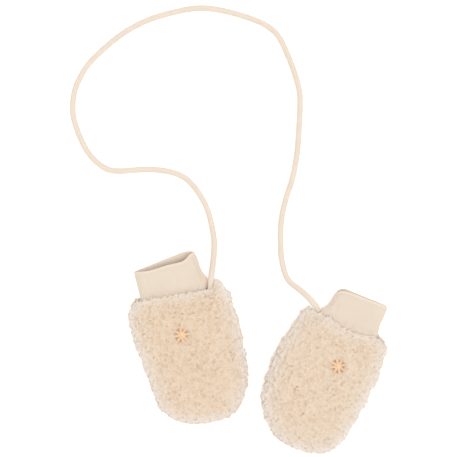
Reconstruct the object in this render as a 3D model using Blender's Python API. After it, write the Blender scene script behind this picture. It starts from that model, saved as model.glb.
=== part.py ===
"""A pair of thumbless baby mittens in deep-pile fleece, with folded jersey cuffs, joined by one round cord.

They lie flat on a surface, cuffs up the +Y axis, and each hand space is open through its cuff.
Each mitten is two fleece panels sewn all round and a cuff set into the neck. Units are metres, +Z is up,
and the origin is under the middle of the two mittens, on the surface they lie on.

In a mitten's own frame the origin is on the surface under the middle of the cuff seam, +Y runs out
through the cuff, and +X is the inner side, where the cord is sewn in.
"""

import math
from collections import namedtuple

import bmesh
import bpy
from mathutils import Vector

# Cloth and sewing
SEAM_GAP = 0.0003  # between two pieces that are sewn together
SEAM_HEIGHT = 0.0055  # the side seam's height above the surface
PILE_WALL = 0.0080  # fleece at the sides and tip, backing and pile together
FRONT_WALL = 0.0074  # fleece over the hand
CUFF_WALL = 0.0020  # jersey folded double
CUFF_TUCK = 0.0060  # how far the cuff reaches into the neck
SHOULDER_WALL = 0.0085  # fleece between the neck edge and the wide part of the hand space
NECK_SIDE = 0.0022  # the neck hole's straight sides, above the side seam
HAND_RISE = 0.0020  # the least height of the hand space's crown above its straight sides
TIP_SHARE = 0.5  # of the mitten's length, over which the tip's wall grows to PILE_WALL

# Section shapes: exponents of superellipses, 2 for an ellipse and more for a boxier one
FRONT_POWER = 2.6
HAND_POWER = 3.0
NECK_POWER = 2.7
MOUTH_POWER = 2.6
BACK_PRESS = 1.35  # how deep the back panel's round section would be, for 1 of its depth as pressed flat
CUFF_PRESS = 1.25  # the same for the underside of a cuff

# Soft lumps of the pile on the outer face, the sum of some waves. Directions and phases are in degrees.
LUMP_HEIGHT = 0.0018
LUMP_FADE = 0.008  # from a cut edge, where the pile lies level, to its full height
Wave = namedtuple("Wave", "length direction phase")
LUMP_WAVES = (
    Wave(0.0125, 15, 40),
    Wave(0.0100, 78, 205),
    Wave(0.0142, 128, 95),
    Wave(0.0088, 158, 310),
    Wave(0.0112, 47, 170),
)

# The dimple that the cord's end presses into the pile, along the line that PLACES gives
DIMPLE_FLOOR = 0.0136
DIMPLE_RISE = 105.0  # metres of height for each square metre of distance from its line

# Sections of the panels, from the neck to the tip: place along the mitten, its two sides, height of its crown
PanelSection = namedtuple("PanelSection", "along outer_side inner_side crown")
LEFT_PANEL = (
    PanelSection(0.0000, -0.0337, 0.0412, 0.0200),
    PanelSection(-0.0020, -0.0359, 0.0427, 0.0204),
    PanelSection(-0.0050, -0.0383, 0.0448, 0.0208),
    PanelSection(-0.0100, -0.0407, 0.0472, 0.0212),
    PanelSection(-0.0171, -0.0418, 0.0484, 0.0215),
    PanelSection(-0.0291, -0.0415, 0.0496, 0.0217),
    PanelSection(-0.0442, -0.0403, 0.0504, 0.0218),
    PanelSection(-0.0592, -0.0381, 0.0509, 0.0217),
    PanelSection(-0.0713, -0.0365, 0.0507, 0.0215),
    PanelSection(-0.0833, -0.0349, 0.0489, 0.0210),
    PanelSection(-0.0924, -0.0334, 0.0467, 0.0203),
    PanelSection(-0.0994, -0.0307, 0.0437, 0.0193),
    PanelSection(-0.1054, -0.0261, 0.0400, 0.0180),
    PanelSection(-0.1104, -0.0197, 0.0359, 0.0163),
    PanelSection(-0.1145, -0.0122, 0.0312, 0.0141),
    PanelSection(-0.1171, -0.0042, 0.0257, 0.0115),
    PanelSection(-0.1185, 0.0038, 0.0197, 0.0087),
    PanelSection(-0.1189, 0.0120, 0.0120, SEAM_HEIGHT),
)
RIGHT_PANEL = (
    PanelSection(0.0000, -0.0294, 0.0386, 0.0200),
    PanelSection(-0.0020, -0.0307, 0.0404, 0.0204),
    PanelSection(-0.0050, -0.0336, 0.0423, 0.0208),
    PanelSection(-0.0100, -0.0375, 0.0443, 0.0212),
    PanelSection(-0.0171, -0.0393, 0.0461, 0.0215),
    PanelSection(-0.0291, -0.0395, 0.0485, 0.0217),
    PanelSection(-0.0442, -0.0387, 0.0510, 0.0218),
    PanelSection(-0.0592, -0.0369, 0.0526, 0.0217),
    PanelSection(-0.0713, -0.0349, 0.0525, 0.0215),
    PanelSection(-0.0833, -0.0329, 0.0509, 0.0210),
    PanelSection(-0.0924, -0.0311, 0.0481, 0.0203),
    PanelSection(-0.0994, -0.0285, 0.0437, 0.0193),
    PanelSection(-0.1054, -0.0254, 0.0391, 0.0180),
    PanelSection(-0.1104, -0.0212, 0.0339, 0.0163),
    PanelSection(-0.1145, -0.0147, 0.0275, 0.0141),
    PanelSection(-0.1169, -0.0077, 0.0212, 0.0115),
    PanelSection(-0.1183, -0.0007, 0.0147, 0.0087),
    PanelSection(-0.1187, 0.0070, 0.0070, SEAM_HEIGHT),
)
# Sections of the cuffs, from the tucked end to the mouth. widest is the level at which a section is widest.
CuffSection = namedtuple("CuffSection", "along outer_side inner_side under widest top")
LEFT_CUFF = (
    CuffSection(-CUFF_TUCK, -0.0283, 0.0283, 0.0057, 0.0078, 0.0168),
    CuffSection(0.0000, -0.0283, 0.0283, 0.0057, 0.0078, 0.0168),
    CuffSection(0.0060, -0.0282, 0.0285, 0.0042, 0.0075, 0.0166),
    CuffSection(0.0130, -0.0284, 0.0279, 0.0012, 0.0072, 0.0165),
    CuffSection(0.0190, -0.0283, 0.0267, 0.0000, 0.0071, 0.0163),
    CuffSection(0.0243, -0.0280, 0.0254, 0.0000, 0.0069, 0.0161),
)
RIGHT_CUFF = (
    CuffSection(-CUFF_TUCK, -0.0270, 0.0280, 0.0057, 0.0078, 0.0168),
    CuffSection(0.0000, -0.0270, 0.0278, 0.0057, 0.0078, 0.0168),
    CuffSection(0.0060, -0.0274, 0.0240, 0.0042, 0.0075, 0.0167),
    CuffSection(0.0125, -0.0275, 0.0206, 0.0012, 0.0072, 0.0166),
    CuffSection(0.0180, -0.0272, 0.0182, 0.0000, 0.0070, 0.0163),
    CuffSection(0.0228, -0.0265, 0.0158, 0.0000, 0.0067, 0.0160),
)
# How each mitten lies: where its origin is, its turn in degrees and the side its +X is on. The mouth's edge
# has a slope across the mitten, and its upper part has slid back from the lower one. The dimple runs between
# two places in the mitten's frame.
PLACES = {
    "left": {
        "at": (-0.0732, 0.0535, 0),
        "turn": 12,
        "side": 1,
        "mouth_slope": 0.147,
        "mouth_lean": 0.0068,
        "dimple": ((0.0346, 0.0023), (0.0318, -0.0052)),
    },
    "right": {
        "at": (0.0783, 0.0270, 0),
        "turn": -19,
        "side": -1,
        "mouth_slope": 0.070,
        "mouth_lean": 0.0016,
        "dimple": ((0.0330, 0.0045), (0.0286, -0.0013)),
    },
}
PANELS = {"left": LEFT_PANEL, "right": RIGHT_PANEL}
CUFFS = {"left": LEFT_CUFF, "right": RIGHT_CUFF}

# The cord: its thickness, and its route from the left mitten to the right one
CORD_DIAMETER = 0.0047
CORD_GAP = 0.0001  # between the cord and the surface it lies on
CORD_REST = CORD_DIAMETER / 2 + CORD_GAP
CORD_POINTS = 78  # along the tube
CORD_STEPS = 10  # between two places of its route, from which those points are read
CORD_ROUTE = (
    (-0.0409, 0.0552, 0.0170),
    (-0.0397, 0.0631, 0.0162),
    (-0.0374, 0.0826, 0.0066),
    (-0.0376, 0.0998, CORD_REST),
    (-0.0449, 0.1272, CORD_REST),
    (-0.0631, 0.1504, CORD_REST),
    (-0.0906, 0.1569, CORD_REST),
    (-0.1181, 0.1554, CORD_REST),
    (-0.1319, 0.1583, CORD_REST),
    (-0.1471, 0.1737, CORD_REST),
    (-0.1581, 0.2012, CORD_REST),
    (-0.1577, 0.2219, CORD_REST),
    (-0.1526, 0.2356, CORD_REST),
    (-0.1440, 0.2489, CORD_REST),
    (-0.1268, 0.2653, CORD_REST),
    (-0.1095, 0.2778, CORD_REST),
    (-0.0923, 0.2860, CORD_REST),
    (-0.0751, 0.2913, CORD_REST),
    (-0.0521, 0.2957, CORD_REST),
    (-0.0321, 0.2940, CORD_REST),
    (-0.0150, 0.2897, CORD_REST),
    (0.0022, 0.2837, CORD_REST),
    (0.0134, 0.2769, CORD_REST),
    (0.0202, 0.2683, CORD_REST),
    (0.0279, 0.2511, CORD_REST),
    (0.0339, 0.2339, CORD_REST),
    (0.0369, 0.2166, CORD_REST),
    (0.0353, 0.1823, CORD_REST),
    (0.0334, 0.1651, CORD_REST),
    (0.0300, 0.1479, CORD_REST),
    (0.0243, 0.1306, CORD_REST),
    (0.0207, 0.1134, CORD_REST),
    (0.0200, 0.0963, CORD_REST),
    (0.0210, 0.0791, CORD_REST),
    (0.0262, 0.0620, 0.0058),
    (0.0376, 0.0527, 0.0122),
    (0.0484, 0.0421, 0.0166),
    (0.0505, 0.0354, 0.0170),
)

# How finely the shapes are cut up
ROWS_PER_GAP = 2
FRONT_COLUMNS = 36
BACK_COLUMNS = 24
HAND_COLUMNS = 14
CUFF_COLUMNS = 36

FLEECE_COLOUR = (0.83, 0.68, 0.51, 1)
JERSEY_COLOUR = (0.85, 0.73, 0.60, 1)
CORD_COLOUR = (0.88, 0.76, 0.62, 1)


def clear_scene():
    for obj in list(bpy.data.objects):
        bpy.data.objects.remove(obj)


def cloth_material(name, colour, roughness):
    material = bpy.data.materials.new(name)
    material.use_nodes = True
    shader = material.node_tree.nodes["Principled BSDF"]
    shader.inputs["Base Color"].default_value = colour
    shader.inputs["Roughness"].default_value = roughness
    shader.inputs["Metallic"].default_value = 0
    return material


def through(rows, index, share):
    """A row a share of the way from rows[index] to the next, on a Catmull-Rom curve through them all."""
    picked = [rows[min(max(index + step, 0), len(rows) - 1)] for step in (-1, 0, 1, 2)]

    def blend(before, start, end, after):
        return 0.5 * (
            2 * start
            + (end - before) * share
            + (2 * before - 5 * start + 4 * end - after) * share**2
            + (3 * start - before - 3 * end + after) * share**3
        )

    return tuple(blend(*values) for values in zip(*picked))


def smooth_rows(rows, per_gap):
    """The rows with more between them, so that what they describe changes smoothly."""
    made = [through(rows, i, step / per_gap) for i in range(len(rows) - 1) for step in range(per_gap)]
    return [*made, rows[-1]]


def sections(kind, rows):
    """The rows and some between them, as named sections of a kind."""
    return [kind(*row) for row in smooth_rows(rows, ROWS_PER_GAP)]


def arch(turn, low_side, high_side, base, crown, power):
    """(x, z) on half a superellipse that stands on base. turn goes from 0 at low_side to pi at high_side."""
    across, up = -math.cos(turn), max(math.sin(turn), 0)
    size = (abs(across) ** power + up**power) ** (-1 / power)
    middle, reach = (low_side + high_side) / 2, (high_side - low_side) / 2
    return middle + reach * size * across, base + (crown - base) * size * up


def turns(columns):
    return [math.pi * i / columns for i in range(columns + 1)]


def lump(x, along, tip):
    """How far the pile stands out at a place on the outer face. It is level at the neck edge and the tip."""
    total = 0
    for wave in LUMP_WAVES:
        angle = math.radians(wave.direction)
        ahead = x * math.cos(angle) + along * math.sin(angle)
        total += math.sin(2 * math.pi * ahead / wave.length + math.radians(wave.phase))
    fade = min(1, -along / LUMP_FADE, (along - tip) / LUMP_FADE)
    return LUMP_HEIGHT * max(fade, 0) * total / len(LUMP_WAVES)


def padded_row(section, columns, base, crown, tip):
    """(x, z) across a panel's outer face, its lumps included, from base up to crown."""
    sides = section.outer_side, section.inner_side
    row = []
    for turn in turns(columns):
        x, _ = arch(turn, *sides, base, crown, FRONT_POWER)
        out = lump(x, section.along, tip)
        row.append(arch(turn, sides[0] - out, sides[1] + out, base, crown + out, FRONT_POWER))
    return row


def dimpled(point, dimple):
    """The point of the outer face, pressed down where the cord's end lies."""
    x, along, height = point
    start, end = map(Vector, dimple)
    line, place = end - start, Vector((x, along)) - start
    share = min(max(place.dot(line) / line.length_squared, 0), 1)
    away = (place - share * line).length
    return x, along, min(height, DIMPLE_FLOOR + DIMPLE_RISE * away**2)


def hand_sections(panel, tucked):
    """Sections of the space inside a mitten. It starts as the hole that holds the cuff's tucked end, and then
    follows the panel, one wall in."""
    neck = tucked.outer_side - SEAM_GAP, tucked.inner_side + SEAM_GAP, tucked.top + SEAM_GAP
    made = [PanelSection(0, *neck), PanelSection(-CUFF_TUCK - SEAM_GAP, *neck)]
    tip = panel[-1].along
    for section in panel:
        wide_enough = section.inner_side - section.outer_side > 3 * PILE_WALL
        if section.along > -SHOULDER_WALL or not wide_enough:
            continue
        into_tip = max((section.along / tip - TIP_SHARE) / (1 - TIP_SHARE), 0)
        made.append(
            PanelSection(
                section.along + PILE_WALL * into_tip**2,
                section.outer_side + PILE_WALL,
                section.inner_side - PILE_WALL,
                max(section.crown - FRONT_WALL, SEAM_HEIGHT + NECK_SIDE + HAND_RISE),
            )
        )
    return made


def place_points(mesh, rows, side):
    """The rows of points as vertices, on the mitten's own side."""
    return [[mesh.verts.new((side * x, y, z)) for x, y, z in row] for row in rows]


def skin(mesh, rows, closed=False):
    """Faces between each row of vertices and the next."""
    for near, far in zip(rows, rows[1:]):
        count = len(near)
        for i in range(count if closed else count - 1):
            j = (i + 1) % count
            mesh.faces.new((near[i], near[j], far[j], far[i]))


def fan(mesh, row, point, closed=False):
    """Faces between a row of vertices and one point."""
    count = len(row)
    for i in range(count if closed else count - 1):
        mesh.faces.new((row[i], row[(i + 1) % count], point))


def named_object(name, mesh, material, parent):
    bmesh.ops.recalc_face_normals(mesh, faces=mesh.faces)
    data = bpy.data.meshes.new(name)
    mesh.to_mesh(data)
    mesh.free()
    data.materials.append(material)
    data.shade_smooth()
    data.set_sharp_from_angle(angle=math.radians(50))
    obj = bpy.data.objects.new(name, data)
    PARTS.objects.link(obj)
    obj.parent = parent
    return obj


def outer_points(panel, place, base):
    """The front panel's padded outer face, as rows of points from the neck edge towards the tip."""
    tip = panel[-1].along
    rows = []
    for section in sections(PanelSection, panel)[:-1]:
        across = padded_row(section, FRONT_COLUMNS, base, section.crown, tip)
        rows.append([dimpled((x, section.along, max(z, base)), place["dimple"]) for x, z in across])
    return rows


def inner_points(panel, tucked, base):
    """The front panel's plain inner face, around the hand space."""
    rows = []
    for section in hand_sections(panel, tucked):
        sides = section.outer_side, section.inner_side
        power = NECK_POWER if section.along > -SHOULDER_WALL else HAND_POWER
        across = [arch(turn, *sides, base + NECK_SIDE, section.crown, power) for turn in turns(HAND_COLUMNS)]
        across = [(sides[0], base), *across, (sides[1], base)]
        rows.append([(x, section.along, z) for x, z in across])
    return rows


def edge_of(rows, point):
    """The vertices down one side of a face, round its tip and back up the other side."""
    return [row[0] for row in rows] + [point] + [row[-1] for row in reversed(rows)]


def front_panel(name, panel, tucked, place, material, parent):
    """The upper fleece panel: a padded outer face, a plain inner one, and a level seam edge between them."""
    mesh = bmesh.new()
    base, tip, side = SEAM_HEIGHT + SEAM_GAP / 2, panel[-1], place["side"]
    outer = place_points(mesh, outer_points(panel, place, base), side)
    inner = place_points(mesh, inner_points(panel, tucked, base), side)
    outer_tip = mesh.verts.new((side * tip.inner_side, tip.along, base))
    inner_tip = mesh.verts.new((side * tip.inner_side, tip.along + PILE_WALL, base))
    for rows, point in ((outer, outer_tip), (inner, inner_tip)):
        skin(mesh, rows)
        fan(mesh, rows[-1], point)
    mesh.faces.new([*outer[0], *reversed(inner[0])])
    mesh.faces.new([*edge_of(outer, outer_tip), *reversed(edge_of(inner, inner_tip))])
    return named_object(name, mesh, material, parent)


def back_panel(name, panel, side, material, parent):
    """The fleece panel underneath, pressed flat by the mitten's weight, with a level inner face."""
    mesh = bmesh.new()
    base, tip = SEAM_HEIGHT - SEAM_GAP / 2, panel[-1]
    most = max(section.crown for section in panel) - SEAM_HEIGHT
    points = []
    for section in sections(PanelSection, panel)[:-1]:
        depth = base * BACK_PRESS * min(1, math.sqrt((section.crown - SEAM_HEIGHT) / most))
        across = padded_row(section, BACK_COLUMNS, 0, depth, tip.along)
        points.append([(x, section.along, max(base - drop, 0)) for x, drop in across])
    rows = place_points(mesh, points, side)
    skin(mesh, rows, closed=True)
    fan(mesh, rows[-1], mesh.verts.new((side * tip.inner_side, tip.along, base)), closed=True)
    mesh.faces.new(rows[0])
    return named_object(name, mesh, material, parent)


def cuff_ring(section, share, inset, place):
    """One ring of a cuff's wall, inset from the outer face. share is how far along the cuff it is."""
    sides = section.outer_side + inset, section.inner_side - inset
    under, top = max(section.under, 0) + inset, section.top - inset
    lowest = section.widest - CUFF_PRESS * (section.widest - under)
    power = NECK_POWER + (MOUTH_POWER - NECK_POWER) * share
    ring = []
    for i in range(CUFF_COLUMNS):
        turn = 2 * math.pi * i / CUFF_COLUMNS
        if turn <= math.pi:
            x, z = arch(turn, *sides, section.widest, top, power)
        else:
            x, z = arch(2 * math.pi - turn, *sides, section.widest, lowest, power)
        lean = place["mouth_lean"] * max(math.sin(turn), 0)
        ring.append((x, section.along + share * (place["mouth_slope"] * x - lean), max(z, under)))
    return ring


def cuff(name, rows, place, material, parent):
    """A tube of jersey folded double, tucked into the neck, with a round fold at its mouth."""
    mesh = bmesh.new()
    mouth = rows[-1]
    outer, inner = [], []
    for section in sections(CuffSection, rows):
        share = max(section.along, 0) / mouth.along
        outer.append(cuff_ring(section, share, 0, place))
        inner.append(cuff_ring(section, share, CUFF_WALL, place))
    rounded = mouth._replace(along=mouth.along + CUFF_WALL / 2)
    fold = cuff_ring(rounded, 1, CUFF_WALL / 2, place)
    rings = place_points(mesh, [*outer, fold, *reversed(inner)], place["side"])
    skin(mesh, [*rings, rings[0]], closed=True)
    return named_object(name, mesh, material, parent)


def cord(name, material):
    """The cord that joins the mittens, a round tube along its route."""
    route = smooth_rows(CORD_ROUTE, CORD_STEPS)
    lengths = [0]
    for near, far in zip(route, route[1:]):
        lengths.append(lengths[-1] + math.dist(near, far))
    curve = bpy.data.curves.new(name, "CURVE")
    curve.dimensions = "3D"
    curve.bevel_depth = CORD_DIAMETER / 2
    curve.bevel_resolution = 2
    curve.use_fill_caps = True
    spline = curve.splines.new("POLY")
    spline.points.add(CORD_POINTS - 1)
    at = 0
    for i, point in enumerate(spline.points):
        wanted = lengths[-1] * i / (CORD_POINTS - 1)
        while at < len(lengths) - 2 and lengths[at + 1] < wanted:
            at += 1
        share = (wanted - lengths[at]) / (lengths[at + 1] - lengths[at])
        point.co = (*Vector(route[at]).lerp(Vector(route[at + 1]), share), 1)
    obj = bpy.data.objects.new(name, curve)
    curve.materials.append(material)
    PARTS.objects.link(obj)
    return obj


def mitten(name, fleece, jersey):
    """One mitten, placed and turned by an empty at its own origin."""
    place = PLACES[name]
    holder = bpy.data.objects.new(name + "_mitten", None)
    PARTS.objects.link(holder)
    holder.location = place["at"]
    holder.rotation_euler = (0, 0, math.radians(place["turn"]))
    back_panel(name + "_back_panel", PANELS[name], place["side"], fleece, holder)
    front_panel(name + "_front_panel", PANELS[name], CUFFS[name][0], place, fleece, holder)
    cuff(name + "_cuff", CUFFS[name], place, jersey, holder)


clear_scene()
PARTS = bpy.data.collections.new("baby_mittens")
bpy.context.scene.collection.children.link(PARTS)
FLEECE = cloth_material("fleece", FLEECE_COLOUR, 0.95)
JERSEY = cloth_material("jersey", JERSEY_COLOUR, 0.9)
for each in PLACES:
    mitten(each, FLEECE, JERSEY)
cord("cord", cloth_material("cord", CORD_COLOUR, 0.85))
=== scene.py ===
"""A pair of thumbless baby mittens in curly fleece with folded jersey cuffs, joined by one round cord.

They lie flat on a pale floor. Each fleece panel is a cloth shell with curled strands of wool felted into it
and loose fibres on top, each cuff is a folded tube of jersey, and the cord is a tube along its solid's route.
Lengths are in metres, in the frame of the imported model, except in the tables that say otherwise.

In a mitten's own frame the origin is on the floor under the middle of the cuff seam, +Y runs out through the
cuff, and +X is the inner side, where the cord is sewn in.
"""

import math
from collections import namedtuple
from functools import partialmethod

import bmesh
import bpy
import numpy as np
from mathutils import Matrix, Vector
from mathutils.bvhtree import BVHTree
from mathutils.kdtree import KDTree


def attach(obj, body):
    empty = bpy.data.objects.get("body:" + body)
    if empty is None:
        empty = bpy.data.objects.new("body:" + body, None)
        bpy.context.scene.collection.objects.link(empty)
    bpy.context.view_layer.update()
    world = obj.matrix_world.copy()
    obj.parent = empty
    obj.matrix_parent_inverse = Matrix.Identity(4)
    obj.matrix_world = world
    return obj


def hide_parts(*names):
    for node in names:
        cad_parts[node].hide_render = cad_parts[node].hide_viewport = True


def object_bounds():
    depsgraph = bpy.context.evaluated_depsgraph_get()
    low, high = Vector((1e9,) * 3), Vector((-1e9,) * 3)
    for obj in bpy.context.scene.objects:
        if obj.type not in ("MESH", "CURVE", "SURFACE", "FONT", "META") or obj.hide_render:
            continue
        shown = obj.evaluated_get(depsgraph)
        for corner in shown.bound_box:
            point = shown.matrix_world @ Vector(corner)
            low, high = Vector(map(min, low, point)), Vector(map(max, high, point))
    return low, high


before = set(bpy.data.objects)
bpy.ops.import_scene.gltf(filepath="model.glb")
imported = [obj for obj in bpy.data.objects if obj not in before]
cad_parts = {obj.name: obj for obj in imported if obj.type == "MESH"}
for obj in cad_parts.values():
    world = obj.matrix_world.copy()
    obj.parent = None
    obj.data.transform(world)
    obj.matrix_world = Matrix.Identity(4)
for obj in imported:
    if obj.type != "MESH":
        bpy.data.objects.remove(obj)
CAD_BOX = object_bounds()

MM = 0.001
SEED = 20
WHITE = (1.0, 1.0, 1.0)
UP = (0.0, 0.0, 1.0)
ON_FLOOR, ABOVE_ALL = 0.00002, 0.1  # the least height of wool, and one over everything

# Camera: straight above
CAMERA_AT = (-0.0248, 0.1061, 1.610)
CAMERA_SENSOR = 36.0
CAMERA_ABOVE = 1.600  # its height over the level at which the frame is FRAME_SIDE wide
FRAME_SIDE = 0.3912

# Light and floor
SKY_STRENGTH = 0.66
SUN_STRENGTH = 1.47
SUN_SOFTNESS = 35  # degrees across
SUN_TILT = (2, 6)  # degrees about X and Y
FLOOR_SIZE = 6.0
FLOOR_GLOW = 0.30  # it is a light table, so shadows on it are faint
FLOOR_DROP = 0.0003  # under the lowest point of the mittens

# The cord, on the same route as in part.py
CORD_DIAMETER = 0.0047
CORD_REST = CORD_DIAMETER / 2 + 0.0001
CORD_STEPS = 10  # between two places of its route
CORD_RING = 0.0008  # between two rings of the tube
CORD_PASSES = 30  # of smoothing, over those rings
CORD_NAP = 0.00015  # how far its soft surface stands out
CORD_SIDES = 16
CORD_PINCH, CORD_PINCHED = 0.72, 0.0065  # how thick its ends are, for 1 elsewhere, and from where it narrows
PINCH_POWER = 0.7
BRAID_STRANDS, BRAID_PITCH = 8, 0.019
FUZZ_COUNT, FUZZ_LENGTH, FUZZ_WIDTH, FUZZ_STRAY = 5000, 0.0011, 0.00010, 1.1
FUZZ_FREE = 2  # rings at each end that have none
CORD_SEWN = ((-0.0409, 0.0552, 0.0120), (0.0522, 0.0356, 0.0122))  # its ends, down in the fleece
CORD_DOWN = ((-0.0397, 0.0631, 0.0162), (-0.0374, 0.0826, 0.0066))  # off the left mitten
CORD_LAID = (  # x and y where it lies on the floor
    (-0.0376, 0.0998), (-0.0449, 0.1272), (-0.0631, 0.1504), (-0.0906, 0.1569), (-0.1181, 0.1554),
    (-0.1319, 0.1583), (-0.1471, 0.1737), (-0.1581, 0.2012), (-0.1577, 0.2219), (-0.1526, 0.2356),
    (-0.1440, 0.2489), (-0.1268, 0.2653), (-0.1095, 0.2778), (-0.0923, 0.2860), (-0.0751, 0.2913),
    (-0.0521, 0.2957), (-0.0321, 0.2940), (-0.0150, 0.2897), (0.0022, 0.2837), (0.0134, 0.2769),
    (0.0202, 0.2683), (0.0279, 0.2511), (0.0339, 0.2339), (0.0369, 0.2166), (0.0353, 0.1823),
    (0.0334, 0.1651), (0.0300, 0.1479), (0.0243, 0.1306), (0.0207, 0.1134), (0.0200, 0.0963),
    (0.0210, 0.0791),
)
CORD_UP = ((0.0262, 0.0620, 0.0058), (0.0376, 0.0527, 0.0122), (0.0484, 0.0421, 0.0166))  # onto the right one

# The mittens, as in part.py: where each one's origin is, its turn in degrees and the side its +X is on.
# emblem is where its star is and sway how far its fleece is moved, both in the shared frame. pale is how far
# all its own wool is on the way to the colour that painted light gives the rim, as an even tone of its own
Mitten = namedtuple("Mitten", "name at turn side tip emblem sway pale")
MITTENS = (
    Mitten("left", (-0.0732, 0.0535), 12, 1, -0.1189, (-0.0646, 0.0150), (-0.0001, 0.0003), 0.0),
    Mitten("right", (0.0783, 0.0270), -19, -1, -0.1187, (0.0681, -0.0107), (0.0004, -0.0004), 0.12),
)
NUDGES = {  # where a fleece's outline is moved, in the shared frame: x, y, how far round that, and the move
    "left": ((-0.0260, 0.0160, 0.010, 0.0008, 0.0002),),
    "right": ((0.0295, 0.0278, 0.010, 0.0020, -0.0013), (0.1083, 0.0115, 0.009, 0.0012, 0.0006)),
}
SEAM_HEIGHT = 0.0055
AXIS_DROP = 0.0004  # how far under that height an upper panel's middle line is
AXIS_MIDDLE = 0.0050  # that line is this far to the inner side
AXIS_START, AXIS_END = -0.012, 0.030  # it starts at that place along, and ends that far before the tip
OUTWARD = 0.02  # least cosine between an outer face's normal and the way out from it

# Fleece: cloth, swollen under each clump of wool, with strands felted into it and loose fibres on top
CLOTH_VOXEL = 0.0012
CLOTH_LOWEST = 0.0001
NORMAL_PASSES = 6  # of smoothing, for the directions that the pile grows in
# How far the cloth is sunk, all over and at the neck edge, and over what distance; from clump to clump, and
# how far they stand out; from strand to strand, how thick they are, how wide they curl and how high they rise
Pile = namedtuple("Pile", "depth edge_depth ramp clump swell spacing thick curl rise voxel fibres")
FRONT_PILE = Pile(0.0025, 0.0016, 0.0046, 0.0042, 0.0013, 0.0017, 0.00074, 0.00085, 0.0012, 0.00056, 26000)
BACK_PILE = Pile(0.0019, 0.0010, 0.0046, 0.0042, 0.0008, 0.0022, 0.00085, 0.0010, 0.0007, 0.00068, 8000)
BACKING_FROM = 0.0012  # how far in from the pile's foot the knitted back starts
THINNED_FROM, INNER_SHARE = 0.0018, 0.06  # and from where on only that share of the faces is kept
NECKS = {  # across and along: where the fleece ends over the cuff, in millimetres of the mitten's frame
    "left": (
        (-43, 0), (-36, -2.5), (-29.5, -2.8), (-22, -1.8), (-15, -2.2), (-3, -3.4), (6, -3), (17, -3.6),
        (25, -4.8), (32, -4), (35.5, -0.4), (38.5, 1.4), (42, 0.4),
    ),
    "right": (
        (-43, 0), (-36.5, -3), (-30, -5.2), (-25, -4.8), (-18, -5.2), (-5, -6.2), (3.2, -5.5), (12.6, -2.2),
        (19, -0.5), (30, -0.6), (38, 0),
    ),
}
NECK_REACH = 0.028  # how far down the mitten the fleece follows that line
BACK_NECK = 0.5  # how far the under panel follows it, for 1 of the upper one
EDGE_FADE = 0.010  # from the neck edge, over which the pile reaches its full depth
RIM_STEEP = 0.30  # the cloth counts as the rim where it is that steep
RIM_SWELL = 0.6  # how much more the clumps stand out there
RIM_PARTED = 0.45  # how much shorter strands are there between clumps
RIM_SUNK = 0.0006  # how much deeper the cloth lies there
SEAM_HOLD, HOLD_GAIN = 0.0028, 1.4  # that near the seam's height the cloth is sunk sideways only
CLUMP_EDGE = 0.0021  # how wide the dip between two clumps is
NECK_STEPS = 6  # between two points of the neck's line
SCALLOP, SCALLOP_WIDTH, SCALLOP_REACH = 0.0014, 0.0066, 0.007  # the edge's tufts
TUFT_DRIFT, TUFT_DRIFT_RATE = 0.9, 0.37  # how uneven they are, and how fast that changes
FRINGE = 0.0035  # from the neck edge, within which strands lean out over the cuff
FRINGE_LEAN = 0.0027
RIM_BAND = 0.0012  # from the seam's height, within which the solid's points are on its rim
RIM_PLACES = 5  # on each of its edges there
RIM_LIGHT, RIM_LIGHT_REACH = 1.4, 0.0056  # painted light makes the wool palest at the rim, and how far that reaches
WALL_TONE, WALL_HEIGHT = 0.95, 0.0065  # how much less of that painted light there is at the seam, and from how far above it
NECK_LIGHT, NECK_LIGHT_REACH = 0.72, 0.014  # how pale painted light makes it at the neck edge, and how far that reaches

# Strands. Two numbers are the least and the most. Three are an arch: where on a half wave it starts, how much
# of it there is, and the power to which it is raised
STRAND_RINGS, STRAND_SIDES = 9, 6
TRIES = 9  # places tried for a strand, for each square of their spacing
STRAND_TURN = 1.6, 5.2  # radians
STRAND_CURL = 0.75, 1.6  # the curl's radius, for 1 of the pile's
CURL_START, CURL_GROWTH = 0.6, 0.8  # the share of it at the root, and what is added up to the tip
STRAND_HEIGHT = 0.3, 1.25  # for 1 of the pile's rise
STRAND_THICK = 0.75, 1.25  # for 1 of the pile's
STRAND_ARCH = 0.04, 0.90, 0.8
STRAND_TAPER = 0.07, 0.87, 0.55
STRAND_FULL = 1.05  # its radius, for 1 of its thickness
SMALLEST_STRAND = 0.35  # its thickness where the pile has no height
PRESSED_STRAND = 0.9  # how much lower strands are under the star
FELT_PASSES = 1  # of smoothing, over the felted strands
SHADING_PASSES = 30  # of smoothing, for the pile's general form
PILE_SOFTNESS = 0.20  # how far its shading follows that form, because light spreads in wool
SOFT_FROM, SOFT_OVER = 0.3, 0.8  # it does less where the wool faces another way

# Fibres: narrow strips
FIBRE_LENGTH, FIBRE_WIDTH, FIBRE_RINGS = 0.0020, 0.00015, 3
FIBRE_OUT, FIBRE_UP, FIBRE_STRAY = 0.6, 0.2, 0.8  # how much it goes out of its strand, up, and any way
STRIP_LENGTHS = 0.5, 1.15
STRIP_TILT, STRIP_BEND, STRIP_TAPER = 0.3, 0.9, 0.75

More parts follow.
